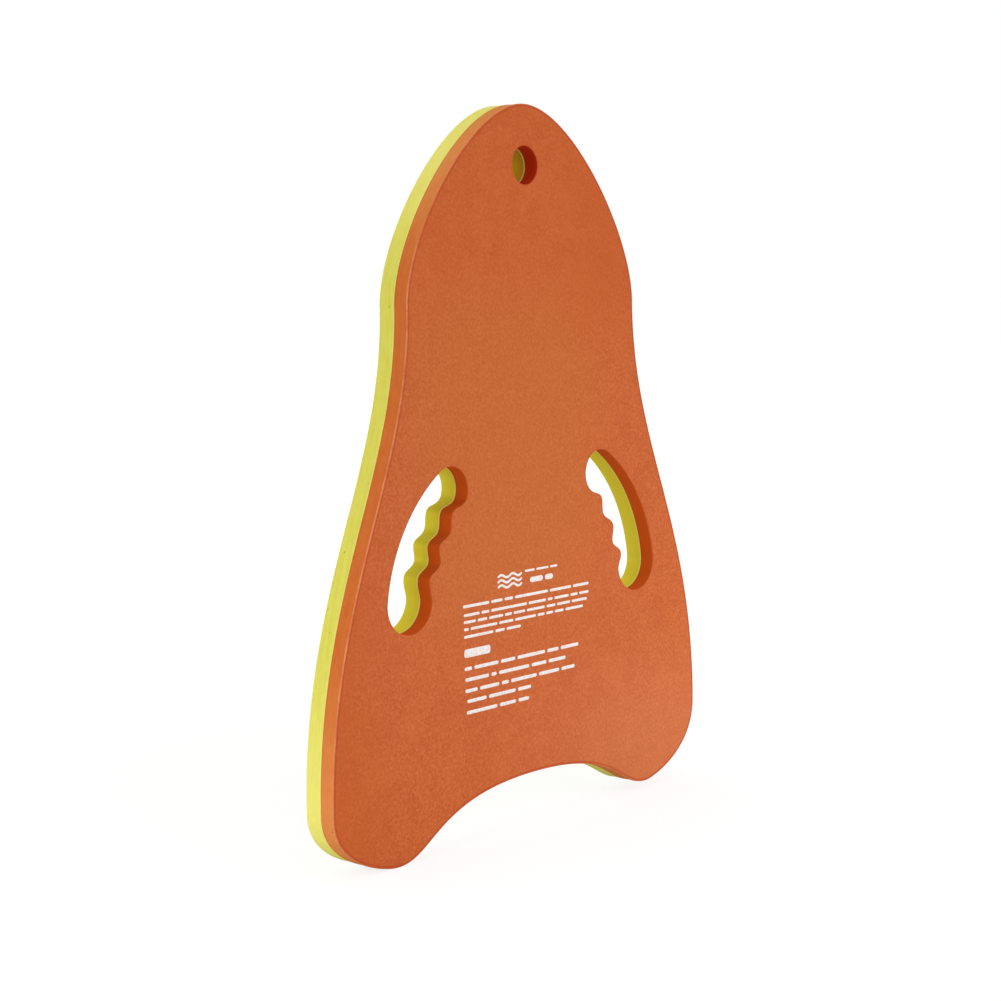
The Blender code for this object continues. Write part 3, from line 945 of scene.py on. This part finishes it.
def floor_material():
    """Near the board it takes light and shadow, and further out it fades into
    the white of the backdrop, for the camera only."""
    nodes = Nodes("studio_white", (0.9, 0.9, 0.9))
    seen = nodes.new("ShaderNodeLightPath").outputs["Is Camera Ray"]
    nodes.surface(Roughness=0.95, Specular_IOR_Level=0.05,
                  Base_Color=nodes.mix(seen, (0.72, 0.72, 0.72), (0.86, 0.86, 0.86)))
    radius = nodes.new("ShaderNodeVectorMath", operation="LENGTH")
    nodes.put(radius.inputs[0], nodes.place)
    far = nodes.times(nodes.ramp(radius.outputs["Value"], over=(0.30, 1.00), to=(0.74, 1.0),
                                 smooth=True), seen)
    glow = nodes.new("ShaderNodeEmission")
    glow.inputs["Color"].default_value = WHITE
    glow.inputs["Strength"].default_value = 1.12
    blend = nodes.new("ShaderNodeMixShader")
    nodes.put(blend.inputs["Fac"], far)
    nodes.put(blend.inputs[1], nodes.shader.outputs["BSDF"])
    nodes.put(blend.inputs[2], glow.outputs["Emission"])
    nodes.put(nodes.tree.nodes["Material Output"].inputs["Surface"], blend.outputs["Shader"])
    return nodes.material


def studio_floor():
    """A wide pale disc, with rings closer together near the board."""
    rings, spokes, reach = 24, 96, 8.0
    vertices = [(0.0, 0.0, 0.0)]
    for ring in range(1, rings + 1):
        radius = reach * (ring / rings) ** 2
        for spoke in range(spokes):
            vertices.append((*polar((0.0, 0.0), radius, 2 * math.pi * spoke / spokes), 0.0))
    faces = [(0, 1 + spoke, 1 + (spoke + 1) % spokes) for spoke in range(spokes)]
    for ring in range(rings - 1):
        for here, there in ring_edges(spokes, first=1 + ring * spokes):
            faces.append((here, here + spokes, there + spokes, there))
    floor = new_object("studio_floor", vertices, faces, datum=(0.0, 0.0))
    floor.data.materials.append(floor_material())


def studio_world(strength):
    """White behind everything for the camera, soft grey light for the rest."""
    world = bpy.data.worlds.new("studio")
    world.use_nodes = True
    tree = world.node_tree
    tree.nodes.clear()
    out, path, seen, cast, mixed = (tree.nodes.new("ShaderNode" + kind) for kind in (
        "OutputWorld", "LightPath", "Background", "Background", "MixShader"))
    seen.inputs["Color"].default_value = WHITE
    cast.inputs["Color"].default_value = WHITE
    cast.inputs["Strength"].default_value = strength
    tree.links.new(path.outputs["Is Camera Ray"], mixed.inputs["Fac"])
    tree.links.new(cast.outputs["Background"], mixed.inputs[1])
    tree.links.new(seen.outputs["Background"], mixed.inputs[2])
    tree.links.new(mixed.outputs["Shader"], out.inputs["Surface"])
    bpy.context.scene.world = world


def softbox(name, place, aim, size, power):
    """A square softbox at a place, facing another, that the camera doesn't see."""
    data = bpy.data.lights.new(name, "AREA")
    data.shape = "SQUARE"
    data.size = size
    data.energy = power
    light = bpy.data.objects.new(name, data)
    light.location = place
    light.rotation_mode = "QUATERNION"
    light.rotation_quaternion = (aim - place).to_track_quat("-Z", "Y")
    bpy.context.scene.collection.objects.link(light)
    light.visible_camera = False


def studio_lights():
    # Name, azimuth, elevation (degrees), distance, size, power (watts). Azimuth
    # 0 is in front of the front face, and it grows towards the board's +X side.
    for name, azimuth, elevation, distance, size, power in (
            ("left", -90, 15, 1.9, 1.2, 6.0),
            ("left_back", -120, 15, 1.9, 1.2, 4.8),
            ("front", 0, 25, 2.2, 1.6, 12.5),
            ("front_right", 40, 5, 1.6, 0.9, 4.3),
            ("overhead", 0, 88, 2.0, 1.6, 6.0),
            ("back", 172, 22, 2.2, 1.6, 4.6)):
        around, up = math.radians(azimuth), math.radians(elevation)
        outward = Vector((math.sin(around) * math.cos(up), -math.cos(around) * math.cos(up),
                          math.sin(up)))
        softbox(name, TARGET + outward * distance, TARGET, size, power)
    # Small low ones, for the light that a white table throws back up:
    # name, place, aim, size, power.
    for name, place, aim, size, power in (
            ("low_right", (0.27, -0.27, 0.045), (0.12, 0.0, 0.05), 0.14, 0.20),
            ("low_front", (-0.08, -0.30, 0.045), (-0.05, 0.0, 0.05), 0.20, 0.095),
            ("low_left", (-0.47, 0.0, 0.045), (-0.16, 0.0, 0.05), 0.14, 0.22)):
        softbox(name, Vector(place), Vector(aim), size, power)


def studio_camera():
    """Level with the board's upper half, well round to its left, looking
    slightly down."""
    place = (-0.92079, -0.82105, 0.34543)
    heading, pitch, roll = -0.8356, -0.1116, -0.0153     # radians
    data = bpy.data.cameras.new("camera")
    data.sensor_width = 36.0
    data.lens = 70.96
    data.clip_start, data.clip_end = 0.05, 60.0
    camera = bpy.data.objects.new("camera", data)
    camera.matrix_world = (
        Matrix.Translation(place)
        @ Matrix.Rotation(heading, 4, "Z") @ Matrix.Rotation(math.pi / 2, 4, "X")
        @ Matrix.Rotation(pitch, 4, "X") @ Matrix.Rotation(roll, 4, "Z"))
    bpy.context.scene.collection.objects.link(camera)
    bpy.context.scene.camera = camera


studio_floor()
studio_world(strength=0.505)
studio_lights()
studio_camera()

view = bpy.context.scene.view_settings
view.view_transform = "Standard"
view.look = "None"
view.exposure = 0.0
view.gamma = 1.0
